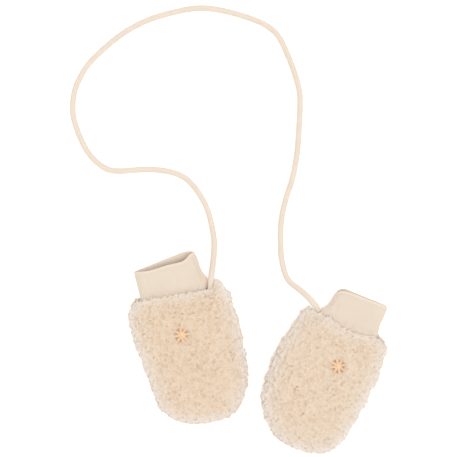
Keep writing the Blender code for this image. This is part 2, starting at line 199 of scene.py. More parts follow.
# The stars
EMBLEM_HOLLOW, HOLLOW_EDGE = 0.0060, 1.5  # the hollow's radius halfway up, and its whole radius for 1 of that
EMBLEM_DEPTH = 0.0008
EMBLEM_RAYS = 16  # by turns long and light, and short and dark
EMBLEM_START = 0.0006
EMBLEM_REACH = 0.0080, 0.0060
REACH_SPREAD, REACH_DROP = (0.90, 1.10), 0.12  # of a ray's threads, and how much shorter its outer ones are
THREADS_A_RAY = 3
THREAD = 0.00064
THREAD_ROOT = 0.0002  # over the cloth, at both ends of a stitch
THREAD_LIFT = 0.0011, 0.0007  # and this much more at its middle
THREAD_ARCH = 0.08, 0.91, 0.7
THREAD_CLOSE, THREAD_BELLY = 0.45, 0.6  # how far apart they are at a ray's ends, and what its middle adds
THREAD_STRAY, THREAD_HEAP = 0.1, 0.3  # how far they lie off their place, across and up
THREAD_THIN, THREAD_SWELL = 0.75, 0.3
THREAD_RINGS, THREAD_SIDES = 16, 6
KNOT_THREADS, KNOT_RADIUS, KNOT_TURNS, KNOT_CLOSING = 3, 0.0009, 1.6, 0.75
KNOT_FOOT, KNOT_RISE = 0.2, 0.5  # threads' thicknesses

# The cuffs
CUFF_WALL = 0.0020
CUFF_PRESS = 1.25
NECK_POWER, MOUTH_POWER = 2.7, 2.6
CUFF_STEPS = 12  # between two sections
CUFF_RING = 0.00055  # between two rings of the outer layer
INNER_EVERY = 3  # the inner layer has each third of them
CUFF_COLUMNS = 208
FOLD_RINGS = 6
RIM_STEPS = 6  # between two points of the mouth's line
LAYER_BLEND = 2.5  # how fast the upper layer turns into the under one at the sides
CREASE_ENDS = 0.55  # how deep a crease is at its ends, for 1 at its middle
WALES, COURSES = 112, 900  # stitches round a cuff, and rows to a metre
LIP_MIDDLE, LIP_WIDTH, LIP_SHARE = -0.0001, 0.0013, 0.8  # a painted highlight along the fold at the mouth
# From how far inside the mouth painted shade darkens the cuff's inner layer, and how fast it grows to full,
# for each metre
INSIDE_FROM, INSIDE_FADE = 0.0020, 200.0
CuffSection = namedtuple("CuffSection", "along outer_side inner_side under widest top")
CUFFS = {  # rows of that, in millimetres
    "left": (
        (-12, -28, 28, 5.7, 7.8, 16.6), (-6, -28, 28.8, 5.7, 7.8, 16.8), (0, -28, 31.8, 5.7, 7.8, 16.8),
        (4, -28.1, 31.2, 4.8, 7.7, 16.7), (8, -28.3, 28.9, 3.4, 7.5, 16.6),
        (13, -28.5, 27.7, 1.2, 7.2, 16.5), (19, -28.7, 27, 0, 7.1, 16.3), (24.3, -28.9, 25.6, 0, 6.9, 16.1),
    ),
    "right": (
        (-12, -27.2, 27.8, 5.7, 7.8, 16.6), (-6, -27.2, 28, 5.7, 7.8, 16.8), (0, -27, 27.6, 5.7, 7.8, 16.8),
        (4, -26.6, 24.8, 4.8, 7.6, 16.8), (8.5, -26.8, 22, 3.2, 7.4, 16.7),
        (13, -27.4, 20.5, 1.2, 7.2, 16.6), (18, -27.7, 19.8, 0, 7, 16.3), (22.8, -28, 19, 0, 6.7, 16),
    ),
}
RIMS = {  # across, upper and under: where the mouth ends in its two layers, in millimetres
    "left": (
        (-28.9, 20.7, 21), (-17.8, 19.4, 22.9), (-11.5, 19.6, 24), (1, 20.7, 26.3), (9.7, 20.9, 27.7),
        (14, 21.3, 28.4), (17.8, 23.1, 28.7), (20.8, 25.4, 28.4), (25.6, 27.1, 27.2),
    ),
    "right": (
        (-28, 20.8, 20.8), (-24, 21.4, 21.9), (-10, 21.9, 22.6), (5, 22.5, 23.5), (10.5, 22.3, 23.8),
        (14, 21.5, 22.9), (16.8, 19.8, 20.8), (19, 17.2, 17.4),
    ),
}
# From where to where each one runs, its width and its depth, below 0 for a ridge, in millimetres. The upper
# layer's are first, and then the under one's
CREASES = {
    "left": (
        (
            (23.6, 24, 26.8, 10, 1, 0.7), (26.8, 10, 27.4, 3, 1.3, 0.8), (21.4, 22.5, 24, 12, 1.6, -0.3),
            (-27, 20, -10, 18.8, 0.8, -0.3), (-10, 18.8, 13, 20, 0.8, -0.3), (-25, -1, 23, -3.5, 2.2, 0.6),
            (-20, 15, -18.5, 4, 1.8, 0.3), (5, 13, 8, 2, 2.2, 0.3), (-9, -5, -8.2, 0, 0.8, 0.6),
            (-3, -6, -2.6, -1.2, 0.7, 0.7), (5.2, -5, 6, 1, 0.9, 0.7), (11, -6, 11.2, -0.5, 0.7, 0.6),
            (16.6, -6, 17.2, 0.6, 0.9, 0.8), (22.6, -6, 24, 1.2, 0.8, 0.7),
        ),
        (
            (-18, 18, 1, 6, 2.2, 0.5), (12, 20, 19, 5, 1.8, 0.6), (-12, -5, -11, 3, 0.9, 0.7),
            (2, -5, 1, 2, 1, 0.7), (15, -5, 16, 3.5, 0.9, 0.8),
        ),
    ),
    "right": (
        (
            (17.2, 20, 17.6, 12, 1, 0.5), (17.6, 12, 21.5, 4, 1.1, 0.6), (15, 13, 13.8, 0.5, 1.7, 0.6),
            (-25, 20, -5, 20.6, 0.8, -0.3), (-5, 20.6, 13, 22, 0.8, -0.3), (-24, -3, 8, -4.5, 2, 0.6),
            (-12, 15, -9, 3, 2.2, 0.3), (-21, 14, -22.5, 5, 1.6, 0.3), (-21, -6.5, -20, -1, 0.9, 0.7),
            (-13, -7, -12.6, -2.5, 0.7, 0.6), (-4, -7.5, -4.4, -2, 0.9, 0.7), (4, -7, 3.6, -0.8, 0.8, 0.8),
            (11, -4, 11.2, 1.5, 0.8, 0.6),
        ),
        (
            (-15, 17, -2, 6, 2, 0.5), (8, 19, 12, 6, 1.8, 0.5), (-16, -5, -15, 3, 0.9, 0.7),
            (0, -5, 1, 2.5, 1, 0.8), (12, -5, 11, 3, 0.9, 0.7),
        ),
    ),
}


def link(obj):
    bpy.context.scene.collection.objects.link(obj)
    return obj


def add_camera():
    data = bpy.data.cameras.new("camera")
    data.sensor_width = CAMERA_SENSOR
    data.lens = CAMERA_SENSOR * CAMERA_ABOVE / FRAME_SIDE
    camera = link(bpy.data.objects.new("camera", data))
    camera.location = CAMERA_AT
    bpy.context.scene.camera = camera


# ---- node materials

SHADER_INPUTS = ("Roughness", "Sheen Weight", "Sheen Roughness", "Sheen Tint", "Specular IOR Level")


class Look:
    """A material and what builds its nodes. An input takes a value, or another node's output."""

    def __init__(self, name, roughness, sheen, sheen_roughness, sheen_tint, specular):
        self.material = bpy.data.materials.new(name)
        self.material.use_nodes = True
        self.tree = self.material.node_tree
        self.shader = self.tree.nodes["Principled BSDF"]
        for key, value in zip(SHADER_INPUTS, (roughness, sheen, sheen_roughness, (*sheen_tint, 1), specular)):
            self.put(self.shader, key, value)
        self.place = self.node("ShaderNodeTexCoord").outputs["Object"]

    def put(self, node, key, value):
        if isinstance(value, bpy.types.NodeSocket):
            self.tree.links.new(value, node.inputs[key])
        else:
            node.inputs[key].default_value = value

    def node(self, kind, inputs=None, **settings):
        made = self.tree.nodes.new(kind)
        for name, value in settings.items():
            setattr(made, name, value)
        for key, value in (inputs or {}).items():
            self.put(made, key, value)
        return made

    def maths(self, operation, *values):
        return self.node("ShaderNodeMath", dict(enumerate(values)), operation=operation).outputs[0]

    times = partialmethod(maths, "MULTIPLY")
    plus = partialmethod(maths, "ADD")
    minus = partialmethod(maths, "SUBTRACT")
    size = partialmethod(maths, "ABSOLUTE")

    def clamped(self, value):
        return self.node("ShaderNodeClamp", {"Value": value}).outputs[0]

    def noise(self, scale, detail=2.0, roughness=0.5):
        inputs = {"Vector": self.place, "Scale": scale, "Detail": detail, "Roughness": roughness}
        return self.node("ShaderNodeTexNoise", inputs).outputs["Fac"]

    def ramp(self, factor, *stops):
        """A colour that goes through the stops, each a place from 0 to 1 and a colour."""
        made = self.node("ShaderNodeValToRGB", {"Fac": factor})
        elements = made.color_ramp.elements
        while len(elements) < len(stops):
            elements.new(0.5)
        for element, (place, colour) in zip(elements, stops):
            element.position = place
            element.color = (*colour, 1)
        return made.outputs["Color"]

    def mixed(self, blend, factor, first, second):
        """Two colours mixed. blend is a blend type of Blender's Mix node."""
        inputs = {"Factor": factor, 6: first, 7: second}
        return self.node("ShaderNodeMix", inputs, data_type="RGBA", blend_type=blend).outputs[2]

    def map_parts(self, name):
        """The X and the Y of a UV map."""
        place = self.node("ShaderNodeUVMap", uv_map=name).outputs["UV"]
        parts = self.node("ShaderNodeSeparateXYZ", {0: place}).outputs
        return parts["X"], parts["Y"]

    def done(self, colour, bump=None):
        """The material with that colour. bump is a height, a strength and a distance."""
        self.put(self.shader, "Base Color", colour)
        if bump:
            node = self.node("ShaderNodeBump", dict(zip(("Height", "Strength", "Distance"), bump)))
            self.put(self.shader, "Normal", node.outputs["Normal"])
        return self.material


def pile_material():
    """Curly wool. Painted shade deepens its tone between the strands, and painted light makes it paler at the
    rim and at the neck edge.
    """
    look = Look("curly_pile", 0.95, 0.35, 0.6, (1.0, 0.95, 0.90), 0.15)
    tone = look.node("ShaderNodeAttribute", attribute_name="pile").outputs["Color"]
    parts = look.node("ShaderNodeSeparateColor", {"Color": tone}).outputs
    uneven = look.times(look.minus(look.noise(60.0, 3.0), 0.5), 0.4)
    height = look.plus(parts[0], uneven)
    # Painted shade: the lower a point lies between the strands, the darker and deeper in tone it is.
    middle = look.ramp(
        height,
        (0.00, (0.735, 0.572, 0.415)),
        (0.40, (0.788, 0.621, 0.456)),
        (0.75, (0.817, 0.659, 0.503)),
        (1.00, (0.836, 0.684, 0.532)),
    )
    # The paler colour that painted light gives the wool near the rim and the neck edge, also darker low
    # between the strands as painted shade.
    pale = look.ramp(height, (0.0, (0.822, 0.750, 0.683)), (1.0, (0.876, 0.815, 0.757)))
    # Its share is the painted light near the rim and neck, with the right mitten's own paler tone, made
    # uneven.
    colour = look.mixed("MIX", look.times(parts[2], look.plus(uneven, 1.0)), middle, pale)
    # A fibre-fine tone from the same noise as the bump: random tone, and painted shade where the bump is low.
    fine = look.noise(1150.0, 3.0, 0.6)
    tint = look.ramp(fine, (0.3, (0.905, 0.895, 0.882)), (0.7, WHITE))
    return look.done(look.mixed("MULTIPLY", 1.0, colour, tint), (fine, 0.5, 0.0005))


def backing_material():
    """The knitted back of the fleece, inside the mitten."""
    look = Look("fleece_backing", 0.95, 0.2, 0.5, (1.0, 0.93, 0.85), 0.15)
    fine = look.noise(900.0)
    # Its tone comes from the same noise as its bump: random tone, and painted shade where the bump is low.
    colour = look.ramp(fine, (0.3, (0.72, 0.57, 0.43)), (0.7, (0.80, 0.66, 0.52)))
    return look.done(colour, (fine, 0.6, 0.0003))


def knit_height(look, wale, course):
    """The height of plain knitting: columns of small V shapes. wale and course count stitches."""
    across = look.size(look.minus(look.maths("FRACT", wale), 0.5))
    column = look.maths("COSINE", look.times(across, math.pi))
    loop = look.size(look.maths("SINE", look.times(look.minus(course, across), math.pi)))
    return look.times(column, look.plus(look.times(loop, 0.45), 0.55))


def jersey_material():
    """Fine cotton jersey, with a painted highlight along the fold at the mouth, painted shade inside the
    mouth and painted shade in the knit's low places. Its map runs once round the cuff, and lengthwise to the
    inside from the mouth, where it is 0."""
    look = Look("jersey", 0.85, 0.35, 0.45, (1.0, 0.95, 0.9), 0.25)
    around, along = look.map_parts("knit")
    height = knit_height(look, look.times(around, WALES), look.times(along, COURSES))
    fine = look.noise(1800.0)
    colour = look.ramp(look.noise(55.0, 3.0), (0.25, (0.775, 0.655, 0.540)), (0.75, (0.810, 0.695, 0.580)))
    # Painted shade in the low places of the knit.
    groove_shade = look.ramp(height, (0.0, (0.90, 0.88, 0.86)), (0.7, WHITE))
    colour = look.mixed("MULTIPLY", 0.7, colour, groove_shade)
    # A painted highlight along the fold at the mouth.
    off_lip = look.maths("DIVIDE", look.size(look.minus(along, LIP_MIDDLE)), LIP_WIDTH)
    lip = look.times(look.clamped(look.minus(1.0, off_lip)), LIP_SHARE)
    colour = look.mixed("MIX", lip, colour, (0.90, 0.765, 0.635, 1.0))
    # Painted shade inside the cuff, on its inner layer from a little inside the mouth, darkest towards the
    # mitten's inner side.
    inside = look.clamped(look.times(look.minus(along, INSIDE_FROM), INSIDE_FADE))
    from_fold = look.size(look.minus(around, 0.5))
    inside_shade = look.ramp(from_fold, (0.02, (0.76, 0.67, 0.58)), (0.45, (0.88, 0.83, 0.78)))
    colour = look.mixed("MULTIPLY", inside, colour, inside_shade)
    look.put(look.shader, "Roughness", look.plus(look.times(fine, 0.12), 0.80))
    return look.done(colour, (look.plus(height, look.times(fine, 0.5)), 0.55, 0.00022))


def braid_height(look, one, other):
    """The height of a round braid. one and other count the strands of its two directions."""
    bulges = []
    for count in (one, other):
        across = look.minus(look.maths("FRACT", count), 0.5)
        bulges.append(look.maths("COSINE", look.times(across, math.pi)))
    cells = look.plus(look.maths("FLOOR", one), look.maths("FLOOR", other))
    first_over = look.maths("ROUND", look.maths("FRACT", look.times(cells, 0.5)))
    under = look.times(bulges[1], look.minus(1.0, first_over))
    return look.plus(look.times(bulges[0], first_over), under)


def cord_material():
    """A soft cotton braid, with painted shade in its grooves. Its strands run both ways round the cord, each
    once in a pitch.
    """
    look = Look("cotton_braid", 0.85, 0.05, 0.45, (1.0, 0.95, 0.9), 0.2)
    around, along = look.map_parts("braid")
    around, along = look.times(around, BRAID_STRANDS), look.times(along, BRAID_STRANDS / BRAID_PITCH)
    height = braid_height(look, look.plus(around, along), look.minus(around, along))
    colour = look.ramp(look.noise(90.0), (0.3, (0.880, 0.756, 0.634)), (0.7, (0.904, 0.790, 0.678)))
    # Painted shade in the braid's grooves, between its strands.
    groove_shade = look.ramp(height, (0.0, (0.84, 0.80, 0.76)), (0.75, WHITE))
    colour = look.mixed("MULTIPLY", 0.7, colour, groove_shade)
    return look.done(colour, (look.plus(height, look.times(look.noise(2200.0), 0.4)), 0.7, 0.0003))


def thread_material(name, dark, light):
    """Glossy embroidery thread."""
    look = Look(name, 0.45, 0.3, 0.3, (1.0, 0.9, 0.8), 0.4)
    colour = look.ramp(look.noise(700.0), (0.3, dark), (0.7, light))
    return look.done(colour, (look.noise(3000.0), 0.5, 0.0001))


def floor_material():
    look = Look("pale_floor", 0.9, 0.0, 0.5, WHITE, 0.0)
    look.put(look.shader, "Emission Color", (*WHITE, 1))
    look.put(look.shader, "Emission Strength", FLOOR_GLOW)
    return look.done(look.ramp(look.noise(3.0), (0.0, (0.93, 0.93, 0.93)), (1.0, (0.95, 0.95, 0.95))))


# ---- meshes from arrays


def new_piece(name, points, faces, material):
    mesh = bpy.data.meshes.new(name)
    mesh.from_pydata(np.asarray(points).reshape(-1, 3).tolist(), [], [list(map(int, f)) for f in faces])
    mesh.materials.append(material)
    mesh.shade_smooth()
    return link(bpy.data.objects.new(name, mesh))


def set_materials(piece, chosen, materials):
    """Gives a piece the first material, and the second one where its points are chosen."""
    piece.data.materials.clear()
    for material in materials:
        piece.data.materials.append(material)
    corners = np.array([p.vertices[0] for p in piece.data.polygons])
    piece.data.polygons.foreach_set("material_index", chosen[corners].astype(int))


def tube_faces(tubes, rings, sides):
    """Quads for tubes whose points are numbered tube by tube, ring by ring, side by side."""
    ring, side = np.meshgrid(np.arange(rings - 1) * sides, np.arange(sides), indexing="ij")
    here, beside = ring + side, ring + (side + 1) % sides
    quads = np.stack([here, here + sides, beside + sides, beside], axis=-1).reshape(1, -1, 4)
    starts = np.arange(tubes)[:, None, None] * rings * sides
    return (starts + quads).reshape(-1, 4)


def end_faces(tubes, rings, sides):
    """The two ends of each tube."""
    near = np.arange(sides)
    far = np.arange(sides)[::-1] + (rings - 1) * sides
    starts = np.arange(tubes)[:, None, None] * rings * sides
    return (starts + np.stack([near, far])[None]).reshape(-1, sides)


def closed_tubes(tubes, rings, sides, first=0):
    """The faces of tubes with closed ends, whose points are numbered from first."""
    faces = first + tube_faces(tubes, rings, sides), first + end_faces(tubes, rings, sides)
    return faces[0].tolist() + faces[1].tolist()


def unit(vectors):
    return vectors / np.maximum(np.linalg.norm(vectors, axis=-1, keepdims=True), 1e-12)


def eased(share):
    """A share from 0 to 1 that starts and ends slowly."""
    return share * share * (3 - 2 * share)


def arch(share, start, span, power):
    """A half wave from start over a span of it, raised to a power."""
    return np.sin(math.pi * (start + span * share)) ** power


def tubes_along(paths, radii, up, sides):
    """Points of tubes along paths (tube, ring, 3), of radii (tube, ring). No path runs along its up."""
    ahead = unit(np.gradient(paths, axis=1))
    across = unit(np.cross(ahead, up[:, None, :]))
    above = np.cross(across, ahead)
    angle = np.linspace(0, 2 * math.pi, sides, endpoint=False)
    x, y = radii[:, :, None] * np.cos(angle), radii[:, :, None] * np.sin(angle)
    return paths[:, :, None] + x[..., None] * across[:, :, None] + y[..., None] * above[:, :, None]


def read(items, name, kind=np.int64, width=1):
    """What an attribute holds for all the items of a mesh."""
    values = np.empty(len(items) * width, kind)
    items.foreach_get(name, values)
    return values if width == 1 else values.reshape(-1, width)


def set_uv(obj, name, around, along):
    """A UV map from values at the mesh's points. The last face round a tube ends at 1 and not at 0."""
    mesh = obj.data
    corners = read(mesh.loops, "vertex_index")
    starts, totals = read(mesh.polygons, "loop_start"), read(mesh.polygons, "loop_total")
    u, v = around[corners], along[corners]
    wraps = np.repeat(np.maximum.reduceat(u, starts), totals) - u > 0.5
    layer = mesh.uv_layers.new(name=name)
    layer.data.foreach_set("uv", np.stack([u + wraps, v], axis=-1).astype(np.float32).ravel())


def catmull(rows, steps):
    """Points of a smooth curve through the rows, steps to a gap."""
    rows = np.asarray(rows, float)
    padded = np.vstack([rows[:1], rows, rows[-1:]])
    share = np.linspace(0, 1, steps, endpoint=False)[:, None]
    made = []
    for before, start, end, after in zip(padded, padded[1:], padded[2:], padded[3:]):
        square = (2 * before - 5 * start + 4 * end - after) * share**2
        cube = (3 * start - before - 3 * end + after) * share**3
        made.append(0.5 * (2 * start + (end - before) * share + square + cube))
    return np.vstack([*made, rows[-1:]])


def evenly(points, spacing):
    """Points about that far apart along a polyline."""
    lengths = np.concatenate([[0], np.cumsum(np.linalg.norm(np.diff(points, axis=0), axis=1))])
    wanted = np.linspace(0, lengths[-1], max(2, round(lengths[-1] / spacing) + 1))
    return np.stack([np.interp(wanted, lengths, points[:, i]) for i in range(3)], axis=-1), wanted


def on_tubes(tubes, paths, picked, first, after, rng):
    """A place on each picked tube, on a ring from number first up to after, and the way out there."""
    ring = rng.integers(first, after, len(picked))
    side = rng.integers(tubes.shape[2], size=len(picked))
    start = tubes[picked, ring, side]
    return start, unit(start - paths[picked, ring])


def strips(start, ahead, length, width, rng):
    """Points and faces of narrow curved strips, one from each start, which go ahead and then bend away."""
    count = len(start)
    bend = unit(np.cross(ahead, rng.normal(size=(count, 3))))
    flat = unit(np.cross(ahead, bend) + STRIP_TILT * bend)
    share = np.linspace(0, 1, FIBRE_RINGS)[None, :, None]
    reach = (length * rng.uniform(*STRIP_LENGTHS, count))[:, None, None]
    middle = start[:, None] + reach * (ahead[:, None] * share + STRIP_BEND * bend[:, None] * share**2)
    half = width / 2 * (1 - STRIP_TAPER * share)
    points = np.stack([middle - half * flat[:, None], middle + half * flat[:, None]], axis=2)
    points[..., 2] = np.maximum(points[..., 2], ON_FLOOR)
    step = np.arange(FIBRE_RINGS - 1)[:, None] * 2 + np.array([[0, 1, 3, 2]])
    faces = (np.arange(count)[:, None, None] * FIBRE_RINGS * 2 + step[None]).reshape(-1, 4)
    return points, faces


# ---- the cord


def make_fuzz(name, tubes, paths, material, rng):
    """Loose cotton fibres that stand off the cord."""
    picked = np.zeros(FUZZ_COUNT, int)
    start, out = on_tubes(tubes, paths, picked, FUZZ_FREE, paths.shape[1] - FUZZ_FREE, rng)
    ahead = unit(out + FUZZ_STRAY * rng.normal(size=out.shape))
    points, faces = strips(start, ahead, FUZZ_LENGTH, FUZZ_WIDTH, rng)
    return new_piece(name, points, faces, material)


def cord_path():
    """The cord's middle line, and how far along it each of its points is."""
    laid = [(x, y, CORD_REST) for x, y in CORD_LAID]
    route = [CORD_SEWN[0], *CORD_DOWN, *laid, *CORD_UP, CORD_SEWN[1]]
    path, _ = evenly(catmull(route, CORD_STEPS), CORD_RING)
    for _ in range(CORD_PASSES):
        path[1:-1] = (path[:-2] + 2 * path[1:-1] + path[2:]) / 4
    return evenly(path, CORD_RING)


def make_cord(material, rng):
    path, lengths = cord_path()
    to_end = np.minimum(lengths, lengths[-1] - lengths)
    pinch = CORD_PINCH + (1 - CORD_PINCH) * np.clip(to_end / CORD_PINCHED, 0, 1) ** PINCH_POWER
    radii = (CORD_DIAMETER / 2 + CORD_NAP) * pinch
    points = tubes_along(path[None], radii[None], np.array([UP]), CORD_SIDES)
    rings = len(path)
    obj = new_piece("cord_braid", points, closed_tubes(1, rings, CORD_SIDES), material)
    around = np.tile(np.arange(CORD_SIDES) / CORD_SIDES, rings)
    set_uv(obj, "braid", around, np.repeat(lengths, CORD_SIDES))
    fuzz = make_fuzz("cord_fuzz", points, path[None], material, rng)
    for piece in (obj, fuzz):
        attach(piece, "root")
    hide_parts("cord")


# ---- the fleece


def turned(x, y, degrees):
    turn = math.radians(degrees)
    return x * math.cos(turn) - y * math.sin(turn), x * math.sin(turn) + y * math.cos(turn)


def to_mitten(points, mitten):
    """Points of the shared frame in a mitten's own frame."""
    x, y = turned(points[..., 0] - mitten.at[0], points[..., 1] - mitten.at[1], -mitten.turn)
    return np.stack([mitten.side * x, y, points[..., 2]], axis=-1)


def to_world(points, mitten):
    """Points of a mitten's own frame in the shared frame."""
    x, y = turned(mitten.side * points[..., 0], points[..., 1], mitten.turn)
    return np.stack([x + mitten.at[0], y + mitten.at[1], points[..., 2]], axis=-1)


def outer_faces(node, mitten, axis_height):
    """A panel's points, and its outer faces: those that face away from a line through the mitten's middle."""
    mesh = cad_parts[node].data
    points = np.array([v.co for v in mesh.vertices])
    own = to_mitten(points, mitten)
    picked = []
    for face in (list(p.vertices) for p in mesh.polygons):
        corners = own[face]
        centre = corners.mean(axis=0)
        normal = np.cross(corners[1] - corners[0], corners[2] - corners[0]) * mitten.side
        start = np.array([AXIS_MIDDLE, min(max(centre[1], mitten.tip + AXIS_END), AXIS_START), axis_height])
        if unit(centre - start) @ unit(normal) > OUTWARD:
            picked.append(face)
    return points, picked


def applied(obj):
    """Puts the result of an object's modifiers in place of its mesh."""
    graph = bpy.context.evaluated_depsgraph_get()
    mesh = bpy.data.meshes.new_from_object(obj.evaluated_get(graph))
    obj.modifiers.clear()
    obj.vertex_groups.clear()
    obj.data = mesh


def remeshed(obj, voxel):
    """Rebuilds the object's mesh as one closed surface with small faces, all about as large."""
    modifier = obj.modifiers.new("even", "REMESH")
    modifier.mode = "VOXEL"
    modifier.voxel_size = voxel
    applied(obj)


def thinned(obj, chosen, share):
    """Leaves only that share of the faces round the chosen points."""
    group = obj.vertex_groups.new(name="thinned")
    group.add(np.flatnonzero(chosen).tolist(), 1.0, "REPLACE")
    modifier = obj.modifiers.new("thin", "DECIMATE")
    modifier.vertex_group = "thinned"
    modifier.ratio = 1 - (1 - share) * chosen.mean()
    applied(obj)


def mesh_arrays(mesh):
    """A mesh's points, their normals and its edges."""
    normals = read(mesh.vertex_normals, "vector", float, 3)
    return read(mesh.vertices, "co", float, 3), normals, read(mesh.edges, "vertices", width=2)


def averaged(values, edges, passes):
    """The values at a mesh's points, each averaged with its neighbours' that many times."""
    count = np.bincount(edges.ravel(), minlength=len(values))[:, None] + 1
    for _ in range(passes):
        total = values.copy()
        for i in range(values.shape[1]):
            total[:, i] += np.bincount(edges[:, 0], values[edges[:, 1], i], len(values))
            total[:, i] += np.bincount(edges[:, 1], values[edges[:, 0], i], len(values))
        values = total / count
    return values


def nearest_outer(tree, points):
    """From each point the nearest place on the panel's outer face: how far it is, how far out from the face
    the point is, which is below zero inside the cloth, and how upright the face is, from 0 to 1."""
    away, out, steep = np.empty((3, len(points)))
    for number, point in enumerate(points.tolist()):
        place, normal, _, distance = tree.find_nearest(point)
        away[number] = distance
        out[number] = (Vector(point) - place).dot(normal)
        steep[number] = 1 - abs(normal.z)
    return away, out, steep


def pressed(points, mitten):
    """How far into the hollow under the star each point is, from 0 outside to 1 in its middle."""
    away = np.hypot(points[:, 0] - mitten.emblem[0], points[:, 1] - mitten.emblem[1]) / EMBLEM_HOLLOW
    return eased(np.clip(HOLLOW_EDGE - away, 0, 1))


Shell = namedtuple("Shell", "points faces normals outer lift")


def cloth_shell(node, mitten, tree, pile, front, rng):
    """The panel's cloth: its solid with the outer face sunk by the pile's depth, swollen under each clump and
    pressed in under a star."""
    obj = link(bpy.data.objects.new(node + "_even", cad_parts[node].data.copy()))
    remeshed(obj, CLOTH_VOXEL)
    points, normals, edges = mesh_arrays(obj.data)
    faces = [list(p.vertices) for p in obj.data.polygons]
    bpy.data.objects.remove(obj)
    normals = unit(averaged(normals, edges, NORMAL_PASSES))
    away, _, steep = nearest_outer(tree, points)
    full = np.clip(-to_mitten(points, mitten)[:, 1] / EDGE_FADE, 0, 1)
    depth = pile.edge_depth + (pile.depth - pile.edge_depth) * full
    share = eased(np.clip(1 - away / pile.ramp, 0, 1))
    outer = away < CLOTH_VOXEL
    press = pressed(points, mitten) * front
    rim = np.clip(steep / RIM_STEEP, 0, 1)
    clump = clumped(points, clump_centres(points[outer], pile.clump, rng))
    swell = pile.swell * full * clump * (1 - press) * (1 + RIM_SWELL * rim)
    sunk_by = (depth - swell + EMBLEM_DEPTH * press + RIM_SUNK * rim * full) * share
    sunk = points - normals * sunk_by[:, None]
    held = np.clip(HOLD_GAIN * (1 - np.abs(points[:, 2] - SEAM_HEIGHT) / SEAM_HOLD), 0, 1)
    sunk[:, 2] = np.maximum(sunk[:, 2] + held * (points[:, 2] - sunk[:, 2]), CLOTH_LOWEST)
    lift = depth / pile.depth * (1 - PRESSED_STRAND * press) * (1 - RIM_PARTED * rim * (1 - clump))
    return Shell(sunk, faces, normals, outer, lift)


def clump_centres(places, spacing, rng):
    """Some of the places, in random order, at least a spacing apart."""
    mixed_up = places[rng.permutation(len(places))]
    return mixed_up[apart(mixed_up, spacing)]


def search_tree(places):
    tree = KDTree(len(places))
    for number, place in enumerate(places):
        tree.insert(place, number)
    tree.balance()
    return tree


def clumped(places, centres):
    """How far into a clump each place is: 0 where two clumps meet, and 1 from CLUMP_EDGE inwards."""
    tree = search_tree(centres)
    nearest = [tree.find_n(place, 2) for place in places]
    inside = np.array([(second[2] - first[2]) / CLUMP_EDGE for first, second in nearest])
    return eased(np.clip(inside, 0, 1))


def scatter(shell, spacing, rng):
    """Places on the outer face a spacing or more apart: for each, its triangle and shares of the corners."""
    triangles = np.array([f[:3] for f in shell.faces] + [[f[0], f[2], f[-1]] for f in shell.faces])
    triangles = triangles[shell.outer[triangles].all(axis=1)]
    corners = shell.points[triangles]
    areas = np.linalg.norm(np.cross(corners[:, 1] - corners[:, 0], corners[:, 2] - corners[:, 0]), axis=1) / 2
    tries = int(areas.sum() / spacing**2 * TRIES)
    chosen = rng.choice(len(triangles), tries, p=areas / areas.sum())
    first, second = np.sqrt(rng.random(tries)), rng.random(tries)
    shares = np.stack([1 - first, first * (1 - second), first * second], axis=-1)
    places = (corners[chosen] * shares[..., None]).sum(axis=1)
    kept = apart(places, spacing)
    return triangles[chosen[kept]], shares[kept]


def apart(places, spacing):
    """Which places to keep, so that each is a spacing or more from those kept before it."""
    cells, kept = {}, []
    keys = np.floor(places / spacing).astype(int)
    around = [(i, j, k) for i in (-1, 0, 1) for j in (-1, 0, 1) for k in (-1, 0, 1)]
    for number, (place, key) in enumerate(zip(places, keys)):
        near = [p for step in around for p in cells.get(tuple(key + step), ())]
        if near and (np.sum((np.array(near) - place) ** 2, axis=1) < spacing**2).any():
            continue
        cells.setdefault(tuple(key), []).append(place)
        kept.append(number)
    return np.array(kept)


def between(values, triangles, shares):
    """Values at places, from those at the corners of their triangles."""
    return (values[triangles] * (shares[..., None] if values.ndim > 1 else shares)).sum(axis=1)


def strand_paths(roots, ups, tops, pile, rng):
    """The middle lines of curled strands (strand, ring, 3), each round its root. tops are their heights."""
    count = len(roots)
    share = np.linspace(0, 1, STRAND_RINGS)[None, :]
    side = unit(np.cross(ups, rng.normal(size=(count, 3))))
    other = np.cross(ups, side)
    curl = rng.uniform(*STRAND_TURN, (count, 1)) * rng.choice([-1, 1], (count, 1))
    radius = pile.curl * rng.uniform(*STRAND_CURL, (count, 1))
    angle = curl * share
    reach = radius * (CURL_START + CURL_GROWTH * share)
    x, y = reach * np.cos(angle), reach * np.sin(angle)
    x, y = x - x.mean(axis=1, keepdims=True), y - y.mean(axis=1, keepdims=True)
    height = tops[:, None] * arch(share, *STRAND_ARCH)
    curled = roots[:, None] + x[..., None] * side[:, None] + y[..., None] * other[:, None]
    return curled + height[..., None] * ups[:, None]


def neck_pull(own, mitten):
    """How far along the mitten the fleece is drawn, at places in its frame, to end at its neck line."""
    line = catmull(np.array(NECKS[mitten.name]) * MM, NECK_STEPS)
    fade = np.clip(1 + own[..., 1] / NECK_REACH, 0, 1)
    drawn = np.interp(own[..., 0], line[:, 0], line[:, 1]) * eased(fade)
    turn = math.pi * own[..., 0] / SCALLOP_WIDTH
    tufts = np.sin(turn + TUFT_DRIFT * np.sin(TUFT_DRIFT_RATE * turn + mitten.turn)) ** 2 - 0.5
    return drawn + SCALLOP * tufts * np.clip(1 + own[..., 1] / SCALLOP_REACH, 0, 1)


